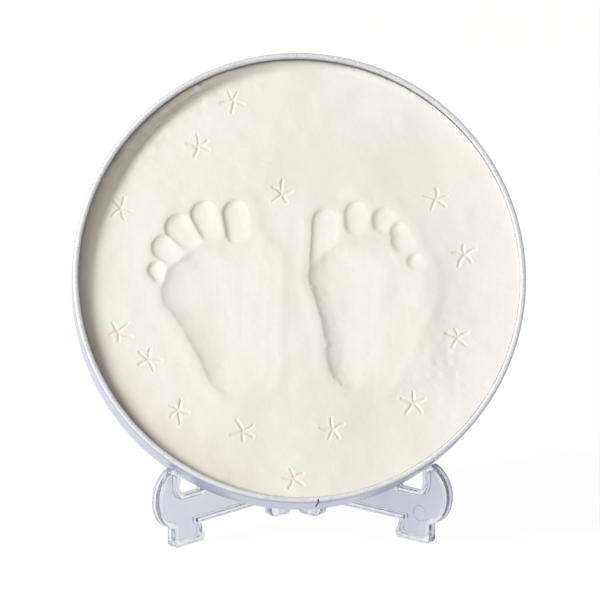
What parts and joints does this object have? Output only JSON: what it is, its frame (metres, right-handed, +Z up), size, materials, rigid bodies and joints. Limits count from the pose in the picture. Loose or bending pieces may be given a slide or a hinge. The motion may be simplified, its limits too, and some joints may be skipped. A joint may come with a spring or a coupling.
{
  "type": "imprint keepsake tin on easel",
  "caption": "Shallow round metal tin filled with pale imprint clay that shows baby footprints and small scratched stars, leaning on a clear folding easel.",
  "frame": {"origin": "on the table, under the middle of the object's box", "axes": "+Z up, the clay faces -Y, the hinge of the easel is at the back, +X to the right seen from the front"},
  "size_m": [0.17, 0.0858, 0.1803],
  "materials": {
    "tin_sheet": "satin",
    "clay": "matte",
    "clear_plastic": "gloss"
  },
  "bodies": {
    "easel_left": {"easel_leaf_left": "clear_plastic", "hinge_pin": "clear_plastic"},
    "easel_right": {"easel_leaf_right": "clear_plastic"},
    "tin": {"tin_side_wall": "tin_sheet", "tin_base_disc": "tin_sheet", "clay_imprint": "clay"}
  },
  "joints": [
    {"name": "easel_fold", "type": "hinge", "parent": "easel_left", "child": "easel_right", "pos_m": [0, 0.02174, 0.051], "axis": [0, 0, 1], "range_deg": [0, 90]},
    {"name": "tin_lift", "type": "slide", "parent": "easel_left", "child": "tin", "axis": [0, 0, 1], "range_m": [0, 0.15]}
  ]
}
